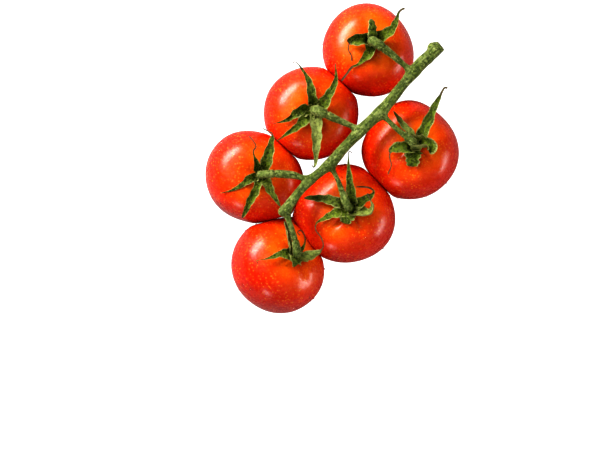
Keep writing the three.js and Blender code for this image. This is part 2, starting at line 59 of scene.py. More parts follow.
# Each fruit: its middle, its outline from above (radius, then how oval and how three-sided, each with the
# bearing of its long side in degrees), its calyx, the two halves of its stalk and its sepals. Pale is how
# much of a sepal's paler back shows, twist is its turn from base to tip in degrees, and roll is how far its
# edges curl up.
fruits = [
    {"middle": [-19.4, 41.1, 15.3], "radius": 18.3, "oval": [0.039, -9], "threeSided": [0.018, 6],
     "calyx": [-20.2, 43.9], "creases": [[-30, 0.4], [60, 0.3], [-120, 0.3], [150, 0.3]],
     "branch": [[-0.4, 45.6, 33.8, 1.6], [-4, 45.7, 34.5, 1.09], [-8, 45.5, 35.5, 1.26],
     [-12, 45.2, 36.4, 1.47], [-15.3, 44.8, 37, 1.64]], "pedicel": [[-17.4, 44.5, 37.2, 1.89],
     [-19.7, 44.1, 36.3, 1.94], [-20.6, 43.9, 34.2, 1.75]],
     "sepals": [
         {"width": 4.8, "taper": 0.8, "body": 0.88, "tail": 0.7, "fresh": 0.6, "path": [[-18.4, 49.4, 32.4],
          [-18, 53, 32], [-19.2, 56.8, 30.8], [-20.6, 59.6, 30.8], [-20.5, 61.4, 31], [-20, 62.3, 31.4]]},
         {"width": 3.7, "blunt": 1, "roll": 0, "thickness": 2.9, "fresh": 0.2, "path": [[-22.4, 46, 33.4],
          [-24.1, 47.5, 34.2], [-25.7, 48.9, 34.6], [-26.9, 49.9, 34.4]]},
         {"width": 6, "blunt": 0.8, "body": 0.6, "tail": 0.34, "roll": 0.5, "fresh": 0.25,
          "path": [[-23.2, 42.2, 32.4], [-24.9, 40.4, 32.8], [-26.2, 38.4, 32.4], [-26, 36.4, 31.6],
          [-24.4, 34.9, 31], [-22.4, 34.2, 30.8], [-21.1, 32.8, 30.6]]},
         {"width": 4.8, "body": 0.66, "tail": 0.6, "fresh": 0.8, "path": [[-18.1, 39.6, 32.2],
          [-18, 37.2, 31.8], [-18.2, 33.6, 31], [-19.2, 31, 30.4], [-18.9, 28, 29.8], [-18.5, 24.3, 29.6]]},
         {"width": 3.1, "path": [[-15.2, 44.5, 31.5], [-12, 44.8, 31], [-9, 45, 30]]},
     ]},
    {"middle": [-18.8, 7.1, 15.3], "radius": 18.8, "oval": [0.009, 31], "threeSided": [0.006, -46],
     "calyx": [-18.3, 8.3], "creases": [[-20, 0.35], [70, 0.3], [-110, 0.3], [160, 0.3]],
     "branch": [[0.4, 14.4, 34.3, 1.64], [-3.2, 13.9, 34.8, 1.09], [-6.4, 12.8, 35.4, 1.22],
     [-10, 11.5, 36.1, 1.43], [-13.4, 10.3, 36.7, 1.68]], "pedicel": [[-15.4, 9.6, 36.8, 1.94],
     [-17.4, 8.9, 35.9, 1.98], [-18.3, 8.5, 33.8, 1.75]],
     "sepals": [
         {"width": 4.7, "taper": 1.1, "fresh": 0.3, "path": [[-17.6, 13.4, 32.4], [-18.1, 16.4, 32.4],
          [-18.9, 20, 32.2], [-21, 23.8, 32.2], [-25, 27.5, 32.4]]},
         {"width": 4.4, "taper": 1.3, "fresh": 0.1, "path": [[-22.6, 11.6, 32.2], [-26, 14.2, 32.2],
          [-29.6, 15.9, 31.4], [-32.5, 16.7, 31], [-35.4, 17.2, 31.6], [-37.1, 17, 32.2], [-37.3, 16, 32.6]]},
         {"width": 4.8, "taper": 1.2, "fresh": 0.25, "path": [[-21.6, 5.6, 31.9], [-22.7, 2.6, 31.8],
          [-23.2, -0.6, 31.3], [-24.7, -3.8, 30.4], [-26.5, -6.6, 29.6]]},
         {"width": 4.4, "taper": 1.1, "fresh": 0.45, "path": [[-18.4, 3.6, 31.9], [-18.6, -0.2, 31.8],
          [-19.6, -4.8, 31.4], [-20.2, -8, 31], [-20.8, -10.8, 30.8]]},
         {"width": 4.7, "taper": 0.85, "pale": 0.75, "fresh": 0.6, "path": [[-14.4, 5.6, 32.2],
          [-10.8, 1.7, 32.2], [-7.4, -1.9, 31.6], [-4.6, -5.2, 31], [-3.2, -7.1, 31.2], [-3, -8.3, 31.8],
          [-4.3, -8, 32.4]]},
     ]},
    {"middle": [-18.4, -27.4, 15.3], "radius": 18.6, "oval": [0.047, 24], "threeSided": [0.026, 38],
     "bulges": [[0.145, -4, 0.48]], "calyx": [-16.4, -25], "creases": [[-60, 0.4], [20, 0.3], [110, 0.3],
     [-150, 0.3]], "branch": [[-0.6, -12.8, 35, 1.51], [-3.6, -14.4, 35.3, 1.09], [-7, -16.3, 35.8, 1.47],
     [-10.4, -18.9, 36.2, 1.55], [-12.4, -20.7, 36.4, 1.51]], "pedicel": [[-14, -22.3, 36.2, 1.53],
     [-15.6, -24, 35.1, 1.53], [-16.3, -24.8, 33.4, 1.44]],
     "sepals": [
         {"width": 4.7, "taper": 0.7, "blunt": 0.3, "body": 0.78, "tail": 0.36, "fresh": 0.35,
          "path": [[-17.4, -20.4, 32.2], [-19.6, -16.6, 33], [-21.8, -12.9, 33.2], [-23.9, -9.9, 32.8],
          [-26, -10.3, 32], [-28.3, -11, 31.8]]},
         {"width": 4, "body": 0.56, "tail": 0.4, "fresh": 0.1, "path": [[-20.6, -22.6, 32.2],
          [-22.8, -21.4, 33.2], [-24.7, -20, 33.6], [-25.2, -18, 33], [-27.2, -17.2, 32.4],
          [-29.9, -16.9, 31]]},
         {"width": 3.6, "taper": 1.3, "fresh": 0.3, "path": [[-18.1, -28.8, 31.8], [-18.8, -32, 31],
          [-20.1, -36.4, 30], [-22.5, -40.7, 28.8]]},
         {"width": 3.3, "taper": 0.6, "blunt": 0.4, "fresh": 0.7, "path": [[-14, -29.2, 32],
          [-12.8, -33, 31.6], [-11.3, -37.6, 30.6], [-9.8, -42.2, 29.2]]},
         {"width": 4, "taper": 0.8, "fresh": 0.8, "pale": 0.15, "path": [[-11.9, -25.8, 32.2],
          [-7.8, -27.1, 32.4], [-3.8, -28.1, 31.8], [-1.2, -28.7, 31]]},
     ]},
    {"middle": [13.9, -47, 16], "radius": 18.4, "oval": [0.038, 8], "threeSided": [0.005, 35],
     "bulges": [[0.24, 111, 0.33], [0.045, 145, 0.4]], "pressedBy": 4, "calyx": [15.7, -38.6],
     "creases": [[-20, 0.7], [-100, 0.5], [170, 0.3], [60, 0.3]], "branch": [[0.9, -28.2, 35.8, 1.6],
     [4.4, -30.3, 35.9, 1.13], [8, -32.2, 35.8, 1.09], [11.4, -34.2, 35.2, 1.26]],
     "pedicel": [[13.2, -35.4, 34.6, 1.53], [15, -36.8, 33.4, 1.67], [15.9, -37.7, 31.7, 1.57]],
     "sepals": [
         {"width": 6.4, "taper": 1.9, "fresh": 0.6, "fold": 0.2, "path": [[12.9, -41, 32.4],
          [11, -42.5, 33.8], [9.6, -45.2, 34.6], [7.7, -48.4, 34.8], [6.1, -50.5, 34.6], [7.2, -51, 34.8]]},
         {"width": 6.6, "blunt": 1, "fresh": 1, "fold": 0.05, "roll": 0, "path": [[16.8, -39.8, 31.8],
          [17.8, -40.8, 32], [18.7, -41.7, 31.4]]},
         {"width": 5.2, "body": 0.55, "tail": 0.32, "taper": 0.6, "fresh": 0.95, "fold": 0.15, "twist": -75,
          "path": [[18.9, -36.4, 30.8], [20.6, -33.4, 31.8], [21.7, -30.5, 32.6], [21.2, -28.2, 33],
          [18.4, -26.4, 33], [15, -25.8, 33], [13.2, -24.4, 32.6]]},
         {"width": 3.4, "body": 0.55, "tail": 0.38, "fresh": 0.3, "path": [[15.8, -34.3, 29.7],
          [14.8, -31.9, 30.4], [12.8, -30.2, 31.6], [10.4, -29.8, 32.2], [10, -31.2, 32.4],
          [11.5, -31.6, 32.2]]},
         {"width": 3.4, "taper": 0.5, "blunt": 0.5, "fresh": 0.3, "withered": 0.45,
          "path": [[12.2, -37.8, 30.2], [9.1, -35.6, 31], [6, -33.4, 31.4], [3.2, -31.7, 31.4]]},
     ]},
    {"middle": [19.8, -12.6, 15.3], "radius": 19.2, "oval": [0.025, -39], "threeSided": [0.037, 22],
     "bulges": [[0.19, -144, 0.4]], "calyx": [18.7, -10.3], "creases": [[-88, 1.7], [-20, 1.5], [60, 0.6],
     [150, 0.5], [-150, 0.6]], "branch": [[0.9, -3, 34.7, 1.51], [4, -4.1, 34.3, 0.97], [7, -5.2, 33.9, 0.92],
     [10, -6.6, 33.6, 1.05], [11.8, -7.5, 33.6, 1.26]], "pedicel": [[13.6, -8.4, 33.6, 1.53],
     [16, -9.6, 33.7, 1.62], [17.9, -10.2, 33, 1.57]],
     "sepals": [
         {"width": 4.7, "taper": 1, "body": 0.92, "fresh": 0.3, "path": [[16.2, -6.8, 33.4], [14.1, -4.6, 36],
          [10.9, -2.2, 37.8], [7.2, 1.1, 38], [4.5, 3.9, 38.2], [3, 5.9, 38.6], [4.2, 6.3, 38.9]]},
         {"width": 4, "taper": 0.7, "blunt": 0.35, "fresh": 0.1, "pale": 0.1, "path": [[14, -11.6, 32.2],
          [10.4, -13.5, 32.2], [6.6, -16, 31.2], [4.2, -18.1, 30], [2.7, -19.7, 29.2]]},
         {"width": 4.6, "taper": 1, "fresh": 0.85, "path": [[17, -14.2, 32.2], [15.2, -17, 32],
          [13.9, -20.6, 31.4], [13.1, -23.2, 31], [13.7, -24.6, 30.6]]},
         {"width": 6, "blunt": 1, "fresh": 0.95, "fold": 0.1, "path": [[19.8, -13, 32.3], [20.6, -14.4, 32.6],
          [21.4, -15.8, 31.8]]},
         {"width": 5, "taper": 0.7, "body": 0.85, "tail": 0.5, "pale": 0.5, "fresh": 0.9, "roll": 0.3,
          "path": [[22, -9.8, 32], [24.2, -8, 33], [25.8, -5.8, 34], [24.8, -3.4, 34.6], [22, -2, 34.8],
          [19.6, -1.1, 34.6]]},
         {"width": 4.8, "taper": 0.8, "body": 0.68, "tail": 0.5, "fresh": 0.3, "roll": 0.3,
          "path": [[20.5, -6.4, 31.4], [20.8, -3.4, 31.8], [21.6, -0.4, 32.2], [20.8, 1.4, 32.4],
          [18.3, 1, 32.4], [16.2, -0.6, 32.2], [14.6, -2.1, 32]]},
     ]},
    {"middle": [21, 23.5, 15.3], "radius": 18.9, "oval": [0.016, -22], "threeSided": [0.019, 41],
     "bulges": [[0.075, 133, 0.5], [0.085, -140, 0.4]], "calyx": [20.3, 25.5], "creases": [[-50, 1.3],
     [-2, 1.3], [-105, 0.8], [70, 0.6], [160, 0.5]], "branch": [[1.2, 25.6, 34.3, 1.68],
     [5, 25.4, 34.6, 1.05], [9, 25.3, 35, 1.01], [12.4, 25.4, 35.3, 1.09], [14.8, 25.6, 35.5, 1.34]],
     "pedicel": [[16.8, 25.8, 35.5, 1.67], [19, 25.9, 34.9, 1.8], [20.1, 25.7, 33.4, 1.67]],
     "sepals": [
         {"width": 4.4, "taper": 0.6, "blunt": 0.2, "body": 0.86, "tail": 0.65, "fresh": 0.4,
          "path": [[19.4, 31, 33], [17.6, 35.8, 33.4], [15.7, 41.2, 33.4], [14.5, 45.2, 33.4],
          [13.3, 48.8, 33.8], [13.1, 50.3, 34], [14, 50.8, 34.2]]},
         {"width": 2.8, "taper": 0.6, "blunt": 0.2, "pale": 0.45, "fresh": 0.5, "path": [[15.6, 28, 31.6],
          [11.4, 28.5, 31.2], [7.4, 29.2, 30.2], [4.6, 29.8, 29.4]]},
         {"width": 5.6, "blunt": 1, "roll": 1, "fresh": 0.6, "path": [[21.9, 27, 32.2], [23, 28.6, 33.4],
          [24.1, 29.6, 34], [25, 29.1, 33.8], [24.7, 28, 33.2]]},
         {"width": 6.2, "blunt": 1, "fresh": 0.95, "fold": 0.15, "path": [[22.2, 22.4, 32.4],
          [23.6, 20.5, 32.6], [24.9, 18.6, 31.4]]},
         {"width": 5.6, "blunt": 0.8, "body": 0.55, "tail": 0.34, "fresh": 0.5, "roll": 0.3,
          "path": [[18.6, 22.4, 32.4], [16.5, 20.1, 32.8], [15, 17.6, 32.4], [16, 15.6, 31.8],
          [18.8, 13.6, 31], [20.4, 10, 30]]},
     ]},
]

pressedPairs = [[0, 1], [1, 2], [2, 3], [2, 4], [4, 5]]  # fruits that grew flat against each other

# The record gives where each fruit rests, so the layout is moved from the stem's own origin to the frame's.
layoutShift = restingFaces["rest_1"] / mm - np.array(fruits[0]["middle"]) * [1, 1, 0]


# A mesh piece from a surface (points, four-sided faces, three-sided faces), with one number per point for
# each named attribute. Points are in millimetres unless scale says otherwise. Every shade is smooth.
def addPiece(name, surface, attributes=None, scale=mm):
    points, quads, tris = surface
    sizes = np.concatenate([np.full(len(quads), 4), np.full(len(tris), 3)])
    corners = np.concatenate([np.ravel(quads), np.ravel(tris)])
    mesh = bpy.data.meshes.new(name)
    mesh.vertices.add(len(points))
    mesh.vertices.foreach_set("co", (points * scale).astype(np.float32).ravel())
    mesh.loops.add(len(corners))
    mesh.loops.foreach_set("vertex_index", corners.astype(np.int32))
    mesh.polygons.add(len(sizes))
    mesh.polygons.foreach_set("loop_start", (np.cumsum(sizes) - sizes).astype(np.int32))
    mesh.polygons.foreach_set("use_smooth", np.ones(len(sizes), bool))
    mesh.update(calc_edges=True)
    mesh.validate()
    for label, values in (attributes or {}).items():
        layer = mesh.attributes.new(label, "FLOAT", "POINT")
        layer.data.foreach_set("value", np.asarray(values, np.float32))
    piece = bpy.data.objects.new(name, mesh)
    bpy.context.scene.collection.objects.link(piece)
    return piece


# Gives a piece its material, hangs it from the root body and hides the CAD node that it stands for.
def finishPiece(piece, material, node=None):
    piece.data.materials.append(material)
    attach(piece, "root")
    if node:
        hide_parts(node)
    return piece


# One property of many things as a flat array, with each thing's numbers after the last one's.
def readAll(things, name, each, kind):
    values = np.empty(len(things) * each, kind)
    things.foreach_get(name, values)
    return values


# The closed surface through rings of points (rows x columns x 3), each turning counter-clockwise about the
# way from the first row to the last: a quad between each four neighbours, and a fan to the middle of the ring
# at each end.
def closedSurface(rings):
    rows, columns = rings.shape[:2]
    i, top = np.arange(columns), (rows - 1) * columns
    j = (i + 1) % columns
    k = np.arange(rows - 1)[:, None] * columns
    quads = np.stack([k + i, k + j, k + columns + j, k + columns + i], -1).reshape(-1, 4)
    pole = np.full(columns, rows * columns)
    tris = np.vstack([np.stack([pole, j, i], -1), np.stack([pole + 1, top + i, top + j], -1)])
    return np.vstack([rings.reshape(-1, 3), rings[0].mean(0), rings[-1].mean(0)]), quads, tris


# Several surfaces as one: their points in one list, and each one's faces counted on from the points before
# it.
def joinSurfaces(surfaces):
    points, quads, tris = zip(*surfaces)
    starts = np.cumsum([0] + [len(part) for part in points[:-1]])
    return (np.vstack(points), np.vstack([part + start for part, start in zip(quads, starts)]),
            np.vstack([part + start for part, start in zip(tris, starts)]))


# A smooth curve through given stations, sampled at even steps: a centripetal Catmull-Rom spline.
# Columns after x, y, z are carried along it in the same way.
def smoothPath(stations, count):
    p = np.array(stations, float)
    p = np.vstack([2 * p[0] - p[1], p, 2 * p[-1] - p[-2]])
    knots = np.concatenate([[0], np.cumsum(np.linalg.norm(np.diff(p[:, :3], axis=0), axis=1) ** 0.5)])
    t = np.linspace(knots[1], knots[-2], 60 * len(p))
    k = np.clip(np.searchsorted(knots, t, side="right") - 1, 1, len(p) - 3)
    t = t[:, None]
    t0, t1, t2, t3 = (knots[k + step][:, None] for step in (-1, 0, 1, 2))
    a = ((t1 - t) * p[k - 1] + (t - t0) * p[k]) / (t1 - t0)
    b = ((t2 - t) * p[k] + (t - t1) * p[k + 1]) / (t2 - t1)
    c = ((t3 - t) * p[k + 1] + (t - t2) * p[k + 2]) / (t3 - t2)
    d = ((t2 - t) * a + (t - t0) * b) / (t2 - t0)
    e = ((t3 - t) * b + (t - t1) * c) / (t3 - t1)
    fine = ((t2 - t) * d + (t - t1) * e) / (t2 - t1)
    travelled = np.concatenate([[0], np.cumsum(np.linalg.norm(np.diff(fine[:, :3], axis=0), axis=1))])
    even = np.linspace(0, travelled[-1], count)
    return np.stack([np.interp(even, travelled, column) for column in fine.T], axis=1)


# Vectors scaled to length 1.
def unit(v):
    return v / np.linalg.norm(v, axis=-1, keepdims=True)


# Tangent, side and normal at each point of a path. The normal is carried along without twisting: at each step
# the part of it that lies along the new tangent is taken away.
def carriedFrames(path, firstNormal):
    tangents = unit(np.gradient(path, axis=0))
    normals = np.empty_like(tangents)
    normal = np.array(firstNormal, float)
    for k, tangent in enumerate(tangents):
        normal = unit(normal - tangent * (normal @ tangent))
        normals[k] = normal
    return tangents, np.cross(normals, tangents), normals


# Smooth step from 0 at low to 1 at high: 3t^2 - 2t^3.
def ease(x, low=0.0, high=1.0):
    t = np.clip((np.asarray(x, float) - low) / (high - low), 0, 1)
    return t * t * (3 - 2 * t)


# A node tree under construction. add() makes a node and feeds its inputs, named with _ for a space, or i0, i1
# and so on by number: a socket is linked and a plain value is set. spread() eases a value from low..high to
# outLow..outHigh.
class Nodes:
    def __init__(self, tree):
        self.tree = tree

    def add(self, kind, settings=None, **inputs):
        node = self.tree.nodes.new(kind)
        for key, value in (settings or {}).items():
            setattr(node, key, value)
        for key, value in inputs.items():
            self.feed(node, key, value)
        return node

    def feed(self, node, key, value):
        wanted = key.replace("_", " ")
        socket = node.inputs[int(key[1:])] if key[1:].isdigit() else node.inputs[wanted]
        if isinstance(value, bpy.types.NodeSocket):
            self.tree.links.new(value, socket)
        else:
            socket.default_value = value

    def math(self, operation, a, b=0.0, c=0.0, clamp=False):
        settings = {"operation": operation, "use_clamp": clamp}
        return self.add("ShaderNodeMath", settings, i0=a, i1=b, i2=c).outputs[0]

    def times(self, a, b, clamp=False):
        return self.math("MULTIPLY", a, b, clamp=clamp)

    def timesPlus(self, a, b, c, clamp=False):
        return self.math("MULTIPLY_ADD", a, b, c, clamp)

    def mix(self, factor, a, b):
        node = self.add("ShaderNodeMix", {"data_type": "RGBA"})
        self.feed(node, "i0", factor)
        self.feed(node, "i6", a)
        self.feed(node, "i7", b)
        return node.outputs[2]

    def spread(self, value, low, high, outLow=0.0, outHigh=1.0):
        node = self.add("ShaderNodeMapRange", {"interpolation_type": "SMOOTHSTEP"}, Value=value, From_Min=low,
                        From_Max=high, To_Min=outLow, To_Max=outHigh)
        return node.outputs["Result"]

    def attribute(self, name):
        return self.add("ShaderNodeAttribute", {"attribute_name": name}).outputs["Fac"]

    def group(self, tree, **inputs):
        node = self.add("ShaderNodeGroup", {"node_tree": tree})
        for key, value in inputs.items():
            self.feed(node, key, value)
        return node.outputs[0]


# A node group with named inputs and one output. An input is a number with its first value, or a vector where that
# is None. fill(nodes, inputs) gives the socket that feeds the output.
def makeGroup(name, fill, **inputs):
    tree = bpy.data.node_groups.new(name, "ShaderNodeTree")
    for label, value in inputs.items():
        kind = "NodeSocketVector" if value is None else "NodeSocketFloat"
        socket = tree.interface.new_socket(label, in_out="INPUT", socket_type=kind)
        if value is not None:
            socket.default_value = value
    tree.interface.new_socket("Mask", in_out="OUTPUT", socket_type="NodeSocketFloat")
    nodes = Nodes(tree)
    given = nodes.add("NodeGroupInput").outputs
    nodes.add("NodeGroupOutput", i0=fill(nodes, given))
    return tree


# Round spots: near the seed of a Voronoi cell the mask is 1, and only a share of the cells has a spot.
def fillSpots(nodes, given):
    scale = nodes.math("DIVIDE", 1.0, given["Cell"])
    cells = nodes.add("ShaderNodeTexVoronoi", Vector=given["Vector"], Scale=scale)
    near = nodes.spread(cells.outputs["Distance"], given["Size"], nodes.times(given["Size"], 0.45))
    pick = nodes.add("ShaderNodeSeparateColor", Color=cells.outputs["Color"]).outputs[0]
    return nodes.times(near, nodes.math("LESS_THAN", pick, given["Share"]))


# Soft patches: fractal noise of a given patch size, spread to full contrast.
def fillPatches(nodes, given):
    scale = nodes.math("DIVIDE", 1.0, given["Patch"])
    noise = nodes.add("ShaderNodeTexNoise", Vector=given["Vector"], Scale=scale, Detail=given["Detail"],
                      Roughness=0.6)
    return nodes.spread(noise.outputs["Fac"], given["Low"], given["High"])


# Fibres: noise on the piece's around and along measures, drawn out along the fibre.
def fillFibres(nodes, given):
    around = nodes.times(given["Around"], given["Count"])
    along = nodes.math("DIVIDE", given["Along"], given["Length"])
    place = nodes.add("ShaderNodeCombineXYZ", X=around, Y=along).outputs[0]
    noise = nodes.add("ShaderNodeTexNoise", Vector=place, Scale=1.0, Detail=2.0, Roughness=0.55)
    return nodes.spread(noise.outputs["Fac"], 0.3, 0.7)


spots = makeGroup("spots", fillSpots, Vector=None, Cell=0.001, Size=0.3, Share=0.5)
patches = makeGroup("patches", fillPatches, Vector=None, Patch=0.01, Detail=2.0, Low=0.35, High=0.65)
fibres = makeGroup("fibres", fillFibres, Around=0.0, Along=0.0, Count=10.0, Length=5.0)


# A material whose tree holds one Principled shader and its output. plain sets the shader's own sockets.
def makeMaterial(name, plain):
    material = bpy.data.materials.new(name)
    material.use_nodes = True
    material.node_tree.nodes.clear()
    nodes = Nodes(material.node_tree)
    shader = nodes.add("ShaderNodeBsdfPrincipled")
    for key, value in plain.items():
        shader.inputs[key].default_value = value
    output = nodes.add("ShaderNodeOutputMaterial")
    material.node_tree.links.new(shader.outputs[0], output.inputs[0])
    return material, nodes, shader


# Bends a shader's normal as if its surface rose by height times distance.
def bump(nodes, shader, height, distance, strength=1.0):
    node = nodes.add("ShaderNodeBump", Height=height, Distance=distance, Strength=strength)
    nodes.feed(shader, "Normal", node.outputs[0])


# Skin colours: deep and bright carry the random tone, and also painted shade below and painted light above,
# weighed by the share of the painted top light; shoulder is painted light on the shoulders, and glow is its
# strength.
skinLook = {
    "deep": (0.36, 0.001, 0.0005, 1), "bright": (0.72, 0.033, 0.0008, 1), "shoulder": (0.88, 0.165, 0.002, 1),
    "fleck": (1.0, 0.36, 0.04, 1), "fleckStrength": 0.5, "scar": (0.25, 0.12, 0.04, 1), "wave": 0.00005,
    "paintedTopLightShare": 0.6, "broadShare": 0.35, "fineShare": 0.2, "glow": 0.8,
}


# Ripe skin, with painted light that makes it brightest on the shoulders and painted shade that makes it deepest
# round the blossom end underneath; soft patches, golden flecks in clusters and a brown blossom scar.
def makeSkin():
    material, nodes, shader = makeMaterial("tomatoSkin", {
        "Roughness": 0.3, "Specular IOR Level": 0.36,
        "Subsurface Weight": 0.12, "Subsurface Radius": (1.0, 0.16, 0.06), "Subsurface Scale": 0.003})
    place = nodes.add("ShaderNodeTexCoord").outputs["Object"]
    polar = nodes.attribute("polar")
    broad = nodes.group(patches, Vector=place, Patch=0.013, Detail=2.0, Low=0.3, High=0.7)
    fine = nodes.group(patches, Vector=place, Patch=0.0016, Detail=3.0, Low=0.3, High=0.72)
    # Painted light and shade: the skin is lighter towards the calyx on top and a deeper red round the underside
    # and blossom end, where shade falls.
    paintedTopLight = nodes.spread(polar, 0.6, 0.18)
    tone = nodes.timesPlus(broad, skinLook["broadShare"], nodes.times(paintedTopLight, skinLook["paintedTopLightShare"]))
    tone = nodes.timesPlus(fine, skinLook["fineShare"], tone, clamp=True)
    colour = nodes.mix(tone, skinLook["deep"], skinLook["bright"])
    # Painted light: an orange glow painted on the shoulders round the calyx, where the light falls, and stronger
    # in the broad patches.
    glow = nodes.times(nodes.spread(polar, 0.36, 0.12), nodes.timesPlus(broad, 0.7, 0.3))
    colour = nodes.mix(nodes.times(glow, skinLook["glow"]), colour, skinLook["shoulder"])
    clusters = nodes.group(patches, Vector=place, Patch=0.008, Detail=1.0, Low=0.35, High=0.65)
    small = nodes.group(spots, Vector=place, Cell=0.0011, Size=0.36, Share=0.7)
    large = nodes.group(spots, Vector=place, Cell=0.0022, Size=0.17, Share=0.45)
    clustered = nodes.times(small, nodes.timesPlus(clusters, 0.7, 0.2))
    flecks = nodes.math("MAXIMUM", clustered, large)
    colour = nodes.mix(nodes.times(flecks, skinLook["fleckStrength"]), colour, skinLook["fleck"])
    scar = nodes.spread(polar, 0.982, 0.992)
    colour = nodes.mix(scar, colour, skinLook["scar"])
    nodes.feed(shader, "Base Color", colour)
    nodes.feed(shader, "Roughness", nodes.spread(fine, 0.0, 1.0, 0.23, 0.33))
    rippled = nodes.add("ShaderNodeTexNoise", Vector=place, Scale=900.0, Detail=2.0).outputs["Fac"]
    bump(nodes, shader, nodes.timesPlus(small, -0.3, rippled), skinLook["wave"], 0.7)
    return material


stemLook = {
    "dark": (0.026, 0.045, 0.004, 1), "mid": (0.118, 0.168, 0.020, 1), "pale": (0.48, 0.54, 0.18, 1),
    "dry": (0.060, 0.045, 0.010, 1), "fibres": 18.0, "fibreLength": 0.006,
    "streakShare": 0.35, "grainShare": 0.3, "blotchShare": 0.3, "paleness": 0.45,
}


# Green stem: fibres along it from dark to mid green, paler patches and hair roots, and a brown cut end.
def makeStem():
    material, nodes, shader = makeMaterial("greenStem", {
        "Roughness": 0.6, "Specular IOR Level": 0.25, "Sheen Weight": 0.08, "Sheen Roughness": 0.5,
        "Sheen Tint": (0.80, 0.78, 0.50, 1), "Subsurface Weight": 0.08,
        "Subsurface Radius": (0.4, 0.8, 0.15), "Subsurface Scale": 0.001})
    place = nodes.add("ShaderNodeTexCoord").outputs["Object"]
    streaks = nodes.group(fibres, Around=nodes.attribute("around"), Along=nodes.attribute("along"),
                          Count=stemLook["fibres"], Length=stemLook["fibreLength"])
    broad = nodes.group(patches, Vector=place, Patch=0.0045, Detail=3.0, Low=0.36, High=0.66)
    blotch = nodes.group(patches, Vector=place, Patch=0.0011, Detail=3.0, Low=0.40, High=0.62)
    grain = nodes.group(patches, Vector=place, Patch=0.0005, Detail=2.0, Low=0.38, High=0.66)
    tone = nodes.timesPlus(grain, stemLook["grainShare"], nodes.times(blotch, stemLook["blotchShare"]))
    tone = nodes.spread(nodes.timesPlus(streaks, stemLook["streakShare"], tone), 0.0, 0.9)
    colour = nodes.mix(tone, stemLook["dark"], stemLook["mid"])
    paleness = nodes.times(nodes.times(broad, blotch), stemLook["paleness"])
    colour = nodes.mix(paleness, colour, stemLook["pale"])
    hairDots = nodes.group(spots, Vector=place, Cell=0.0009, Size=0.34, Share=0.5)
    colour = nodes.mix(nodes.times(hairDots, 0.6), colour, stemLook["pale"])
    colour = nodes.mix(nodes.times(nodes.attribute("dry"), 0.85), colour, stemLook["dry"])
    nodes.feed(shader, "Base Color", colour)
    nodes.feed(shader, "Roughness", nodes.spread(grain, 0.0, 1.0, 0.5, 0.7))
    bump(nodes, shader, nodes.timesPlus(streaks, 0.6, nodes.math("ADD", grain, blotch)), 0.0002, 1.0)
    return material


sepalLook = {
    "dark": (0.012, 0.021, 0.0008, 1), "mid": (0.086, 0.122, 0.006, 1), "fresh": (0.18, 0.25, 0.012, 1),
    "pale": (0.36, 0.40, 0.12, 1), "rim": (0.40, 0.40, 0.14, 1), "rust": (0.09, 0.045, 0.008, 1),
    "dry": (0.115, 0.085, 0.040, 1), "veins": 8.0, "veinLength": 0.5,
    "veinShare": 0.3, "grainShare": 0.35, "blotchShare": 0.45,
}


# Sepal: dark green with lighter speckles and long veins, fresher where it is young, a paler rim and back,
# rusty spots and a withered thread at the tip.
def makeSepal():
    material, nodes, shader = makeMaterial("greenSepal", {
        "Roughness": 0.55, "Specular IOR Level": 0.22, "Sheen Weight": 0.05, "Sheen Roughness": 0.5,
        "Sheen Tint": (0.78, 0.80, 0.50, 1)})
    place = nodes.add("ShaderNodeTexCoord").outputs["Object"]
    along, across, back = nodes.attribute("along"), nodes.attribute("across"), nodes.attribute("back")
    veined = nodes.group(fibres, Around=across, Along=along, Count=sepalLook["veins"],
                         Length=sepalLook["veinLength"])
    blotch = nodes.group(patches, Vector=place, Patch=0.0012, Detail=3.0, Low=0.40, High=0.62)
    grain = nodes.group(patches, Vector=place, Patch=0.00045, Detail=2.0, Low=0.38, High=0.66)
    tone = nodes.timesPlus(grain, sepalLook["grainShare"], nodes.times(blotch, sepalLook["blotchShare"]))
    tone = nodes.spread(nodes.timesPlus(veined, sepalLook["veinShare"], tone), 0.2, 0.75)
    colour = nodes.mix(tone, sepalLook["dark"], sepalLook["mid"])
    young = nodes.times(nodes.attribute("fresh"), nodes.timesPlus(tone, 0.75, 0.25))
    colour = nodes.mix(young, colour, sepalLook["fresh"])
    paleness = nodes.times(back, nodes.timesPlus(tone, 0.6, 0.4), clamp=True)
    colour = nodes.mix(paleness, colour, sepalLook["pale"])
    edge = nodes.spread(nodes.timesPlus(grain, 0.16, nodes.math("ABSOLUTE", across)), 0.86, 1.02)
    colour = nodes.mix(nodes.times(edge, 0.85), colour, sepalLook["rim"])
    hairDots = nodes.group(spots, Vector=place, Cell=0.0009, Size=0.32, Share=0.4)
    colour = nodes.mix(nodes.times(hairDots, 0.6), colour, sepalLook["pale"])
    rusty = nodes.group(spots, Vector=place, Cell=0.0016, Size=0.34, Share=0.22)
    colour = nodes.mix(nodes.times(rusty, 0.6), colour, sepalLook["rust"])
    front = nodes.add("ShaderNodeTexNoise", Vector=place, Scale=900.0, Detail=2.0).outputs["Fac"]
    front = nodes.timesPlus(front, 0.2, nodes.math("SUBTRACT", nodes.attribute("dead"), 0.1))
    dead = nodes.spread(front, 0.25, 0.8)  # rises towards the tip, with a ragged front
    colour = nodes.mix(dead, colour, sepalLook["dry"])
    nodes.feed(shader, "Base Color", colour)
    nodes.feed(shader, "Roughness", nodes.spread(grain, 0.0, 1.0, 0.48, 0.66))
    bump(nodes, shader, nodes.timesPlus(veined, 0.8, nodes.math("ADD", grain, blotch)), 0.00014, 1.0)
    return material


# A material of one colour, for pieces too small to show any pattern.
def makePlain(name, colour, **sockets):
    plain = {"Base Color": colour}
    plain.update({key.replace("_", " "): value for key, value in sockets.items()})
    return makeMaterial(name, plain)[0]


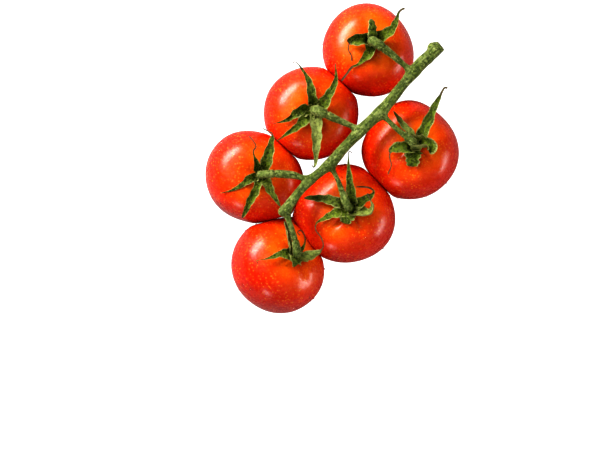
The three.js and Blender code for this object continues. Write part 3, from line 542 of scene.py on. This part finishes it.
skinMaterial = makeSkin()
stemMaterial = makeStem()
sepalMaterial = makeSepal()
hairMaterial = makePlain("paleHair", (0.50, 0.44, 0.13, 1), Roughness=0.45, Specular_IOR_Level=0.4)
waterMaterial = makePlain("waterDrop", (1, 1, 1, 1), Roughness=0.02, IOR=1.33, Transmission_Weight=1.0)
print("materials ready")


skinForm = {
    "polarRadius": 15.8, "squareness": 2.3, "dimpleDepth": 2.3, "dimpleAngle": 0.36, "pressure": 60,
    "touch": 0.05, "touchWidth": 0.09, "noLimit": 60.0, "lumps": 0.004, "creaseWidth": 0.19,
    "shoulder": 0.46, "shoulderWidth": 0.24, "rows": 150, "columns": 168,
}
discForm = {"radius": 2.2, "thickness": 1.1, "lift": 0.8, "rows": 14, "columns": 60}


# Axes and pressing faces of each fruit, worked out once from the layout.
def settleFruit(index, fruit):
    middle = np.array(fruit["middle"])
    lean = np.array(fruit["calyx"]) - middle[:2]
    reach = skinForm["polarRadius"] - skinForm["dimpleDepth"] + discForm["lift"]
    fruit["axis"] = unit(np.array([lean[0], lean[1], math.sqrt(reach ** 2 - lean @ lean)]))
    east = np.array([1.0, 0, 0])
    fruit["east"] = unit(east - fruit["axis"] * (east @ fruit["axis"]))
    fruit["north"] = np.cross(fruit["axis"], fruit["east"])
    neighbours = [pair[0] + pair[1] - index for pair in pressedPairs if index in pair]
    ways = [(np.array(fruits[other]["middle"]) - middle) * [1, 1, 0] for other in neighbours]
    fruit["faces"] = [(np.linalg.norm(way) / 2, unit(way)) for way in ways]
    fruit["at"] = middle + layoutShift
    fruit["seed"] = index
    floor = skinRadius(fruit, fruit["axis"][None])[0]
    fruit["discFoot"] = middle + fruit["axis"] * (floor + discForm["lift"])


# How far the skin is from the fruit's middle in each direction: a boxy ellipsoid about the stem axis, with
# bulges and slow lumps, less a dimple and creases over its shoulder. It swells towards each neighbour that it
# touches, and a soft minimum cuts it off at the plane half way, or at the skin of a fruit that presses into
# it.
def skinRadius(fruit, directions):
    form = skinForm
    along = directions @ fruit["axis"]
    polar = np.arccos(np.clip(along, -1, 1))
    bearing = np.arctan2(directions @ fruit["north"], directions @ fruit["east"])
    toward = lambda pair, sides: pair[0] * np.cos(sides * (bearing - math.radians(pair[1])))
    around = lambda degrees: np.angle(np.exp(1j * (bearing - math.radians(degrees))))
    bulges = sum(share * np.exp(-(around(at) / wide) ** 2) for share, at, wide in fruit.get("bulges", []))
    equator = fruit["radius"] * (1 + toward(fruit["oval"], 2) + toward(fruit["threeSided"], 3) + bulges)
    power = form["squareness"]
    level, upright = np.sin(polar) / equator, np.abs(along) / form["polarRadius"]
    boxed = (level ** power + upright ** power) ** (-1 / power)
    phase = 1.7 * fruit["seed"]
    lumps = form["lumps"] * np.sin(polar) * (np.cos(4 * bearing + phase) * np.sin(3 * polar + phase)
                                             + np.sin(7 * bearing + 2 * phase) * np.sin(5 * polar) * 0.5)
    shoulder = np.exp(-((polar - form["shoulder"]) / form["shoulderWidth"]) ** 2)
    folds = sum(depth * np.exp(-(around(at) / form["creaseWidth"]) ** 2) for at, depth in fruit["creases"])
    dimple = form["dimpleDepth"] * np.exp(-(polar / form["dimpleAngle"]) ** 2)
    free = boxed * (1 + lumps) - dimple - folds * shoulder
    for _, normal in fruit["faces"]:
        free = free * (1 + form["touch"] * np.exp((directions @ normal - 1) / form["touchWidth"]))
    inverse = free ** -form["pressure"]
    for distance, normal in fruit["faces"]:
        inverse = inverse + (np.maximum(directions @ normal, 1e-3) / distance) ** form["pressure"]
    if "pressedBy" in fruit:
        inverse = inverse + hollowLimit(fruit, fruits[fruit["pressedBy"]], directions) ** -form["pressure"]
    return inverse ** (-1 / form["pressure"])


# How far one can go from a fruit's middle before meeting the fruit that presses into it: where the line meets
# a ball about the other's middle, its radius taken from the other's skin at the last meeting point, a few
# times over.
def hollowLimit(fruit, other, directions):
    between = np.array(other["middle"]) - np.array(fruit["middle"])
    ahead = directions @ between
    radius = np.full(len(directions), other["radius"])
    for _ in range(4):
        inside = ahead ** 2 - between @ between + radius ** 2
        meets = (inside > 0) & (ahead > 0)
        limit = np.where(meets, ahead - np.sqrt(np.maximum(inside, 0)), skinForm["noLimit"])
        radius = skinRadius(other, unit(directions * np.minimum(limit, ahead)[:, None] - between))
    return limit


# A fruit: rings about the stem axis from blossom end to dimple, flat where it rests.
def makeFruit(number, fruit):
    rows, columns = skinForm["rows"], skinForm["columns"]
    polar = np.linspace(math.pi, 0, rows + 2)[1:-1, None, None]
    bearing = (np.arange(columns) * 2 * math.pi / columns)[None, :, None]
    level = fruit["east"] * np.cos(bearing) + fruit["north"] * np.sin(bearing)
    directions = (fruit["axis"] * np.cos(polar) + level * np.sin(polar)).reshape(-1, 3)
    points = directions * skinRadius(fruit, directions)[:, None] + fruit["at"]
    points[:, 2] = np.maximum(points[:, 2], 0)
    share = np.append(np.repeat(polar.ravel() / math.pi, columns), [1, 0])
    surface = closedSurface(points.reshape(rows, columns, 3))
    piece = addPiece(f"tomato_{number}_skin", surface, {"polar": share})
    return finishPiece(piece, skinMaterial, f"tomato_{number}")


for index in reversed(range(len(fruits))):
    settleFruit(index, fruits[index])
for number, fruit in enumerate(fruits, 1):
    makeFruit(number, fruit)
print("fruits ready")


# Knuckle and foot list a distance past the knuckle, or above the calyx's button, and a share of the radius
# there.
stalkForm = {
    "columns": 36, "step": 0.35, "ribs": 7, "ribHeight": 0.035, "lump": 0.03, "voxel": 0.3, "fillet": 0.5,
    "softEdge": 0.25, "knuckle": [[-0.35, 0.8], [0.15, 0.86], [0.6, 1.06]],
    "foot": [[1.2, 0.95], [0.0, 1.02], [-0.6, 1.12]],
    "cutEnd": [60.6, 61.4], "cutDryness": 0.9, "scarEdge": [-2.1, -1.2], "settleSteps": 4, "longestStep": 0.4,
}


# Ribs and lumps on a stalk, as a share of its radius: a wave around it that wanders as it goes, and a slow
# swell.
def stalkRelief(around, along, phase):
    wander = 0.7 * np.sin(along * 0.23 + phase) + 0.4 * np.sin(along * 0.61 + 2 * phase)
    ribs = stalkForm["ribHeight"] * np.cos(stalkForm["ribs"] * around + wander)
    swell = np.sin(along * 0.9 + phase + np.cos(around)) + 0.6 * np.sin(along * 1.7 + 3 * phase - 2 * around)
    warts = np.sin(along * 4.1 + 3 * around + phase) * np.sin(along * 2.3 - 5 * around + 2 * phase)
    return 1 + ribs + stalkForm["lump"] * (0.5 * swell + 0.6 * warts)


# A strand: the middle line of a stalk with its frames, radii and lengths, ready for its surface and its
# field.
def makeStrand(stations, phase, flatStart=False, flatEnd=False):
    length = np.linalg.norm(np.diff(np.array(stations)[:, :3], axis=0), axis=1).sum()
    path = smoothPath(stations, max(6, int(length / stalkForm["step"])))
    tangents, sides, normals = carriedFrames(path[:, :3], (0.01, 0, 1))
    along = np.concatenate([[0], np.cumsum(np.linalg.norm(np.diff(path[:, :3], axis=0), axis=1))])
    return {"at": path[:, :3], "radius": path[:, 3], "tangent": tangents, "side": sides, "normal": normals,
            "along": along, "slope": np.gradient(path[:, 3], along), "phase": phase,
            "flatStart": flatStart, "flatEnd": flatEnd}


# A strand's own surface: a circle of its radius at each of its points, with its relief.
def strandRings(strand):
    around = (np.arange(stalkForm["columns"]) * 2 * math.pi / stalkForm["columns"])[None, :]
    radius = strand["radius"][:, None] * stalkRelief(around, strand["along"][:, None], strand["phase"])
    level = (strand["side"][:, None] * np.cos(around)[..., None]
             + strand["normal"][:, None] * np.sin(around)[..., None])
    return strand["at"][:, None] + level * radius[..., None]


# How far points are outside a strand (less than 0 inside), with the outward way, the bearing and the length
# along it: the distance to its line less its radius, cut by a plane where an end is flat.
def strandField(points, strand):
    gap = np.linalg.norm(points[:, None] - strand["at"][None], axis=2) - strand["radius"]
    k = np.argmin(gap, axis=1)
    tangent = strand["tangent"][k]
    ahead = ((points - strand["at"][k]) * tangent).sum(1)
    last = len(strand["at"]) - 1
    ahead = np.where((k == 0) & (not strand["flatStart"]), np.maximum(ahead, 0), ahead)
    ahead = np.where((k == last) & (not strand["flatEnd"]), np.minimum(ahead, 0), ahead)
    radial = points - strand["at"][k] - tangent * ahead[:, None]
    length = np.linalg.norm(radial, axis=1)
    outward = radial / np.maximum(length, 1e-6)[:, None]
    around = np.arctan2((outward * strand["normal"][k]).sum(1), (outward * strand["side"][k]).sum(1))
    along = strand["along"][k] + ahead
    radius = strand["radius"][k] + strand["slope"][k] * np.clip(ahead, -0.5, 0.5)
    value = length - radius * stalkRelief(around, along, strand["phase"])
    ends, soft = [], stalkForm["softEdge"]
    if strand["flatStart"]:
        ends.append((strand["at"][0], -strand["tangent"][0]))
    if strand["flatEnd"]:
        ends.append((strand["at"][-1], strand["tangent"][-1]))
    for at, way in ends:
        beyond = (points - at) @ way
        share = 1 / (1 + np.exp(np.clip((value - beyond) / soft, -40, 40)))[:, None]
        outward = unit(outward * (1 - share) + way * share)
        value = soft * np.logaddexp(value / soft, beyond / soft)
    return value, outward, around, along


# The whole stem's field: a smooth minimum over its strands, so that each fork has a rounded crotch.
def stemField(points, strands):
    found = [strandField(points, strand) for strand in strands]
    values = np.stack([f[0] for f in found])
    weights = np.exp(-np.clip((values - values.min(0)) / stalkForm["fillet"], 0, 60))
    total = weights.sum(0)
    value = values.min(0) - stalkForm["fillet"] * np.log(total)
    outward = unit((weights[..., None] * np.stack([f[1] for f in found])).sum(0))
    main = values.argmin(0)
    around = np.choose(main, [f[2] for f in found])
    along = np.choose(main, [f[3] for f in found])
    return value, outward, around, along


# The stem with the near halves of the stalks: tubes and balls made one by a voxel remesh, then every point
# moved onto the surface of the stem's field. It is dry at the cut end and at the side shoot's scar.
def makeStemPiece():
    tubes = [makeStrand(stemRoute, 0.4, flatStart=True)]
    tubes += [makeStrand(fruit["branch"], 1.3 * n + 1, flatEnd=True) for n, fruit in enumerate(fruits)]
    strands = tubes + [makeStrand([[x, y, z + rise, radius] for rise in (-0.2, 0, 0.2)], 2.0)
                       for x, y, z, radius in stemKnobs]
    polar = np.linspace(math.pi, 0, 16)[1:-1, None]
    around = (np.arange(24) * math.pi / 12)[None]
    ball = np.stack([np.sin(polar) * np.cos(around), np.sin(polar) * np.sin(around),
                     np.cos(polar) + 0 * around], -1)
    surfaces = [closedSurface(strandRings(tube)) for tube in tubes]
    surfaces += [closedSurface(ball * knob[3] + knob[:3]) for knob in stemKnobs]
    rough = addPiece("roughStem", joinSurfaces(surfaces), scale=1)
    remesh = rough.modifiers.new("join", "REMESH")
    remesh.mode = "VOXEL"
    remesh.voxel_size = stalkForm["voxel"]
    made = rough.evaluated_get(bpy.context.evaluated_depsgraph_get()).to_mesh()
    points = readAll(made.vertices, "co", 3, np.float32).reshape(-1, 3).astype(float)
    quads = readAll(made.loops, "vertex_index", 1, np.int32).reshape(-1, 4)
    rough.to_mesh_clear()
    bpy.data.objects.remove(rough)
    longest = stalkForm["longestStep"]
    for _ in range(stalkForm["settleSteps"]):
        value, outward, _, _ = stemField(points, strands)
        points = points - outward * np.clip(value, -longest, longest)[:, None]
    _, _, around, along = stemField(points, strands)
    scarGap = np.linalg.norm(points - stemKnobs[0][:3], axis=1)
    dry = ease(points[:, 1], *stalkForm["cutEnd"]) * stalkForm["cutDryness"]
    dry = dry + ease(-scarGap, *stalkForm["scarEdge"])
    piece = addPiece("stem", (points + layoutShift, quads, []), {
        "around": around / (2 * math.pi), "along": along * mm, "dry": np.clip(dry, 0, 1)})
    return finishPiece(piece, stemMaterial, "rachis")


# The far half of a fruit stalk: from a narrow neck inside the knuckle, through a raised ring, over its bend
# and down to a flared foot on the calyx.
def makePedicel(number, fruit):
    knuckle = np.array(fruit["branch"][-1])
    into = unit(np.array(fruit["pedicel"][0][:3]) - np.array(fruit["branch"][-2][:3]))
    neck = [np.append(knuckle[:3] + into * ahead, knuckle[3] * share)
            for ahead, share in stalkForm["knuckle"]]
    foot = [np.append(fruit["discFoot"] + fruit["axis"] * (discForm["thickness"] + height),
                      fruit["pedicel"][-1][3] * share) for height, share in stalkForm["foot"]]
    strand = makeStrand([*neck, *fruit["pedicel"], *foot], 2.1 * number)
    rings = strandRings(strand)
    rows, columns = rings.shape[:2]
    around = np.tile(np.arange(columns) / columns, rows)
    along = np.repeat(strand["along"], columns) * mm
    piece = addPiece(f"pedicel_{number}_stalk", closedSurface(rings + layoutShift), {
        "around": np.append(around, [0, 0]), "along": np.append(along, [0, along[-1]]),
        "dry": np.zeros(rows * columns + 2)})
    return finishPiece(piece, stemMaterial, f"pedicel_{number}")


stemPiece = makeStemPiece()
pedicelPieces = [makePedicel(number, fruit) for number, fruit in enumerate(fruits, 1)]
print("stems ready")


# What a sepal's own list doesn't say, it takes from here.
sepalForm = {
    "rows": 80, "columns": 32, "thickness": 0.5, "thinnest": 0.12, "fold": 0.4, "baseShare": 0.85,
    "baseLength": 0.22, "keep": 1.35, "taper": 1.2, "blunt": 0, "body": 1, "tail": 0.27, "tailThinning": 0.35,
    "roll": 0.12, "curlIn": 0.35, "ripple": 0.2, "crinkle": 0.14, "ragged": 0.1, "clearance": 0.12,
    "ribDepth": 0.14, "ribWidth": 0.14, "bladeHalf": 1.2, "thickHalf": 0.9, "rootShare": 0.45, "rootHeight":
    0.55, "rootGap": 0.4, "twist": 0, "twistLength": 0.15, "pale": 0, "backPaleness": 0.5, "fresh": 0,
    "withered": 0,
}


# Half the width of a sepal along it: it swells from its base, then tapers, or keeps its width to a blunt end.
# Past its body it goes on as a thread.
def sepalHalf(share, form):
    body = np.clip(share / form["body"], 0, 1)
    swell = form["baseShare"] + (1 - form["baseShare"]) * ease(body, 0, form["baseLength"])
    pointed = np.minimum(form["keep"] * (1 - body) ** form["taper"], 1)
    rounded = np.sqrt(1 - body ** 5)
    blade = form["width"] / 2 * swell * (pointed * (1 - form["blunt"]) + rounded * form["blunt"])
    return np.maximum(blade, form["tail"] * (1 - form["tailThinning"] * share))


# A sepal: a lens-shaped section carried along its path. Its edges stand above the midrib, roll and ripple,
# and any point that would enter the skin is moved out along the fruit's radius.
def makeSepalPiece(number, letter, fruit, sepal):
    form = {**sepalForm, **sepal}
    middle = np.array(fruit["middle"])
    foot = fruit["discFoot"] + fruit["axis"] * discForm["thickness"] * form["rootHeight"]
    outward = np.array(form["path"][0]) - foot
    outward = unit(outward - fruit["axis"] * (outward @ fruit["axis"]))
    start = foot + outward * discForm["radius"] * form["rootShare"]
    rim = foot + outward * (discForm["radius"] + form["rootGap"])
    path = smoothPath([start, rim, *form["path"]], form["rows"])
    _, side, normal = carriedFrames(path, start - middle)
    share = np.linspace(0, 1, form["rows"])[:, None]
    turn = (math.radians(form["twist"]) * ease(share, 0, form["twistLength"]))[..., None]
    side, normal = (side[:, None] * np.cos(turn) + normal[:, None] * np.sin(turn),
                    normal[:, None] * np.cos(turn) - side[:, None] * np.sin(turn))
    a = (np.arange(form["columns"]) * 2 * math.pi / form["columns"])[None, :]
    u = np.cos(a)  # from one edge, -1, to the other, 1
    half = sepalHalf(share, form)
    phase = 2.4 * number + 1.7 * ord(letter)
    full = np.minimum(1, half / form["bladeHalf"])  # 1 on the blade, towards 0 on the thread
    teeth = np.sin(share * 13 + phase + np.sign(u)) + np.sin(share * 31 + 2 * phase)
    half = half * (1 + form["ragged"] * full * teeth)
    ripple = form["ripple"] * full * np.sin(share * 19 + phase + 1.6 * np.sign(u)) * np.abs(u) ** 3
    crinkle = form["crinkle"] * full * (np.sin(share * 23 + 3 * u + phase) * np.sin(5 * u + 2 * phase)
                                        + 0.5 * np.sin(share * 47 - 6 * u + phase))
    roll = form["roll"] * half * np.maximum(np.abs(u) - 0.4, 0) ** 2 * 3
    curl = 1 - form["curlIn"] * np.minimum(sepal.get("roll", 0), 1) * np.maximum(np.abs(u) - 0.5, 0)
    thick = np.minimum(form["thickness"] / 2 * np.minimum(1, half / form["thickHalf"]), half)
    thick = np.maximum(thick, np.minimum(half, form["thinnest"]))
    rib = form["ribDepth"] * np.exp(-(u / form["ribWidth"]) ** 2) * full
    lens = thick * np.sin(a) * (1.15 - 0.6 * u ** 2)
    height = form["fold"] * half * u ** 2 + ripple + crinkle + roll + lens - rib
    points = path[:, None] + side * (half * u * curl)[..., None] + normal * height[..., None]
    away = points.reshape(-1, 3) - middle
    limit = skinRadius(fruit, unit(away)) + (form["clearance"] + thick * (1 + np.sin(a))).ravel()
    away = unit(away) * np.maximum(np.linalg.norm(away, axis=1), limit)[:, None]
    surface = closedSurface((away + middle + layoutShift).reshape(points.shape))
    body = form["body"]
    values = {
        "along": share, "across": u,
        "back": np.clip(form["pale"] + form["backPaleness"] * (np.sin(a) < -0.05), 0, 1),
        "fresh": form["fresh"] * (1 - 0.5 * share / body),
        "dead": np.maximum(ease(share, body - 0.12, body + 0.04) * 0.9, form["withered"]),
    }
    attributes = {label: np.append(np.broadcast_to(value, points.shape[:2]).ravel(),
                                   [0, 1] if label in ("along", "dead") else [0, 0])
                  for label, value in values.items()}
    piece = addPiece(f"sepal_{number}{letter}_leaf", surface, attributes)
    return finishPiece(piece, sepalMaterial, f"sepal_{number}{letter}")


# The green button that the sepals grow from: a low dome with a lobe under each sepal.
def makeDisc(number, fruit):
    rows, columns = discForm["rows"], discForm["columns"]
    share = np.linspace(0, 1, rows)[:, None]
    a = (np.arange(columns) * 2 * math.pi / columns)[None, :]
    ways = [np.array(sepal["path"][0]) - fruit["discFoot"] for sepal in fruit["sepals"]]
    bearings = [math.atan2(way @ fruit["north"], way @ fruit["east"]) for way in ways]
    lobe = sum(np.exp(4 * (np.cos(a - bearing) - 1)) for bearing in bearings)
    radius = discForm["radius"] * (0.82 + 0.3 * lobe) * np.sin(math.pi * (0.12 + 0.8 * share)) ** 0.7
    height = discForm["thickness"] * (share * 1.1 - 0.15) + 0 * a
    level = fruit["east"] * np.cos(a)[..., None] + fruit["north"] * np.sin(a)[..., None]
    rings = fruit["discFoot"] + level * radius[..., None] + fruit["axis"] * height[..., None] + layoutShift
    flat = np.ones(rows * columns + 2)
    piece = addPiece(f"calyx_disc_{number}_button", closedSurface(rings), {
        "along": flat * 0.1, "across": flat * 0, "back": flat * 0.1, "fresh": flat * 0.3, "dead": flat * 0})
    return finishPiece(piece, sepalMaterial, f"calyx_disc_{number}")


sepalPieces, discPieces = [], []
for number, fruit in enumerate(fruits, 1):
    discPieces.append(makeDisc(number, fruit))
    for letter, sepal in zip("abcdef", fruit["sepals"]):
        sepalPieces.append(makeSepalPiece(number, letter, fruit, sepal))
print("calyxes ready")

hairForm = {
    "stem": {"count": 15000, "length": [0.12, 0.42], "radius": 0.02, "seed": 11},
    "sepals": {"count": 14000, "length": [0.1, 0.3], "radius": 0.018, "seed": 12},
    "lean": 0.33, "sink": 0.05,
}


# Points and outward ways scattered evenly over the faces of pieces: a face is picked by its area, and a place
# in it by two random numbers.
def scatter(pieces, count, rng):
    corners, faces, offset = [], [], 0
    for piece in pieces:
        mesh = piece.data
        mesh.calc_loop_triangles()
        corners.append(readAll(mesh.vertices, "co", 3, np.float32).reshape(-1, 3).astype(float))
        faces.append(readAll(mesh.loop_triangles, "vertices", 3, np.int32).reshape(-1, 3) + offset)
        offset += len(mesh.vertices)
    corners, faces = np.vstack(corners), np.vstack(faces)
    a, b, c = (corners[faces[:, k]] for k in range(3))
    cross = np.cross(b - a, c - a)
    area = np.linalg.norm(cross, axis=1)
    chosen = rng.choice(len(faces), count, p=area / area.sum())
    r, s = np.sqrt(rng.random(count))[:, None], rng.random(count)[:, None]
    at = a[chosen] * (1 - r) + b[chosen] * (r * (1 - s)) + c[chosen] * (r * s)
    return at, cross[chosen] / area[chosen][:, None]


# Hairs as slim closed cones: three points round the root and one at the tip, which leans off the surface's
# normal.
def makeHairs(name, pieces, form):
    rng, count = np.random.default_rng(form["seed"]), form["count"]
    at, normal = scatter(pieces, count, rng)
    lean = unit(normal + rng.normal(0, hairForm["lean"], (count, 3)))
    length = rng.uniform(*form["length"], count)[:, None] * mm
    sideA = unit(np.cross(lean, [0.31, 0.57, 0.76]))
    sideB = np.cross(lean, sideA)
    turns = np.arange(3) * 2 * math.pi / 3
    rim = (sideA[:, None] * np.cos(turns)[None, :, None] + sideB[:, None] * np.sin(turns)[None, :, None])
    root = (at - lean * hairForm["sink"] * mm)[:, None] + rim * form["radius"] * mm
    tip = (at + lean * length)[:, None]
    points = np.concatenate([root, tip], axis=1).reshape(-1, 3)
    base = np.arange(count)[:, None] * 4
    tris = np.concatenate([base + [0, 1, 3], base + [1, 2, 3], base + [2, 0, 3], base + [0, 2, 1]])
    return finishPiece(addPiece(name, (points, [], tris), scale=1), hairMaterial)


makeHairs("stem_hairs", [stemPiece] + pedicelPieces, hairForm["stem"])
makeHairs("sepal_hairs", sepalPieces + discPieces, hairForm["sepals"])

dropForm = {
    "perFruit": 60, "radius": [0.2, 0.5], "height": 0.75, "sink": 0.02, "lowest": 4, "calyx": 0.93,
    "roundness": 0.92, "probe": 0.002, "rows": 5, "columns": 12, "seed": 21,
}


# Water drops: flattened domes that sit on the skin at random places of its upper half, clear of the calyx.
# Each one stands square to the skin, whose slope is measured between the drop's place and two others close
# by.
def makeDrops():
    rng, count = np.random.default_rng(dropForm["seed"]), dropForm["perFruit"]
    rise = np.linspace(0, dropForm["roundness"], dropForm["rows"])
    reach = np.sqrt(1 - rise ** 2)
    around = np.arange(dropForm["columns"]) * 2 * math.pi / dropForm["columns"]
    low, high = dropForm["radius"]
    domes = []
    for fruit in fruits:
        skinPoint = lambda ways: ways * skinRadius(fruit, ways)[:, None] + fruit["at"]
        ways = unit(rng.normal(size=(count, 3)) * [1, 1, 0.8] + [0, 0, 0.25])
        at = skinPoint(ways)
        sideA = unit(np.cross(ways, [0.2, 0.3, 0.93]))
        sideB = np.cross(ways, sideA)
        slopeA, slopeB = (skinPoint(unit(ways + side * dropForm["probe"])) - at for side in (sideA, sideB))
        normal = unit(np.cross(slopeA, slopeB))
        radius = low + (high - low) * rng.random(count) ** 2.5
        sideA = unit(np.cross(normal, [0.1, 0.9, 0.4]))
        sideB = np.cross(normal, sideA)
        for k in range(count):
            if at[k, 2] < dropForm["lowest"] or ways[k] @ fruit["axis"] > dropForm["calyx"]:
                continue
            level = sideA[k] * np.cos(around)[:, None] + sideB[k] * np.sin(around)[:, None]
            height = rise * radius[k] * dropForm["height"] - dropForm["sink"]
            domes.append(closedSurface(at[k] + level[None] * (reach * radius[k])[:, None, None]
                                       + normal[k] * height[:, None, None]))
    finishPiece(addPiece("water_drops", joinSurfaces(domes)), waterMaterial)


makeDrops()
print("hairs and drops ready")


# A matt white table top that glows a little by itself, as a light table does, which keeps shadows on it
# faint.
def makeTable():
    material, nodes, shader = makeMaterial("lightTable", {
        "Base Color": (0.33, 0.33, 0.33, 1), "Roughness": 0.9, "Specular IOR Level": 0.1})
    glow = nodes.add("ShaderNodeEmission", Color=(1, 1, 1, 1), Strength=0.95)
    seen = nodes.times(nodes.add("ShaderNodeLightPath").outputs["Is Camera Ray"], 0.999)
    lit = nodes.add("ShaderNodeMixShader", i0=seen)
    both = nodes.add("ShaderNodeAddShader", i0=shader.outputs[0], i1=glow.outputs[0])
    nodes.tree.links.new(shader.outputs[0], lit.inputs[1])
    nodes.tree.links.new(both.outputs[0], lit.inputs[2])
    output = [n for n in nodes.tree.nodes if n.bl_idname == "ShaderNodeOutputMaterial"][0]
    nodes.tree.links.new(lit.outputs[0], output.inputs[0])
    return material


floorHalf = 1.5
corners = np.array([[-1, -1, 0], [1, -1, 0], [1, 1, 0], [-1, 1, 0]]) * floorHalf
floor = addPiece("table", (corners, [[0, 1, 2, 3]], []), scale=1)
floor.data.materials.append(makeTable())

viewForm = {"middle": [7.87, -27.3], "width": 0.24, "height": 0.018, "lens": 200.0, "turn": 43.4}


# The camera looks straight down from so far away that the given width fills the picture at the given height.
def makeCamera():
    data = bpy.data.cameras.new("above")
    data.lens = viewForm["lens"]
    data.sensor_width = 36.0
    data.clip_end = 20
    distance = viewForm["width"] * data.lens / data.sensor_width
    camera = bpy.data.objects.new("above", data)
    bpy.context.scene.collection.objects.link(camera)
    camera.location = (viewForm["middle"][0] * mm, viewForm["middle"][1] * mm, viewForm["height"] + distance)
    camera.rotation_euler = (0, 0, math.radians(viewForm["turn"]))
    bpy.context.scene.camera = camera


# Soft boxes: bearing and rise in degrees as seen from the truss, distance and size in metres, power in watts,
# and whether the skin mirrors them.
lamps = {
    "keyBox": {"bearing": 177, "rise": 29, "away": 0.9, "size": [0.74, 0.3], "power": 12.5, "mirrored": True},
    "softBox": {"bearing": 185, "rise": 44, "away": 1.0, "size": [1.1, 1.1], "power": 9, "mirrored": False},
    "fillBox": {"bearing": -25, "rise": 35, "away": 1.0, "size": [0.9, 0.9], "power": 2.2, "mirrored": False},
    "farBox": {"bearing": 28, "rise": 14, "away": 1.0, "size": [0.6, 0.24], "power": 4, "mirrored": True},
    "lowBox": {"bearing": -70, "rise": 13, "away": 1.0, "size": [0.25, 0.16], "power": 1.2, "mirrored": True},
}


# A soft box aimed at the truss: it stands at its distance along its bearing and rise, and shines back.
def makeLamp(name, lamp):
    data = bpy.data.lights.new(name, "AREA")
    data.shape = "RECTANGLE"
    data.size, data.size_y = lamp["size"]
    data.energy = lamp["power"]
    bearing, rise = math.radians(lamp["bearing"]), math.radians(lamp["rise"])
    way = np.array([math.cos(bearing) * math.cos(rise), math.sin(bearing) * math.cos(rise), math.sin(rise)])
    light = bpy.data.objects.new(name, data)
    bpy.context.scene.collection.objects.link(light)
    light.location = way * lamp["away"] + [0, 0, 0.02]
    # a light shines along its own -Z: tilt it up from straight down, then turn it to face the truss
    light.rotation_euler = (math.pi / 2 - rise, 0, bearing + math.pi / 2)
    light.visible_camera = False
    light.visible_glossy = lamp["mirrored"]


makeCamera()
for name, lamp in lamps.items():
    makeLamp(name, lamp)
world = bpy.data.worlds.new("studio")
world.use_nodes = True
world.node_tree.nodes["Background"].inputs["Color"].default_value = (1, 1, 1, 1)
world.node_tree.nodes["Background"].inputs["Strength"].default_value = 0.1
bpy.context.scene.world = world
bpy.context.scene.view_settings.view_transform = "Standard"
bpy.context.scene.view_settings.look = "High Contrast"
print("table, light and camera ready")
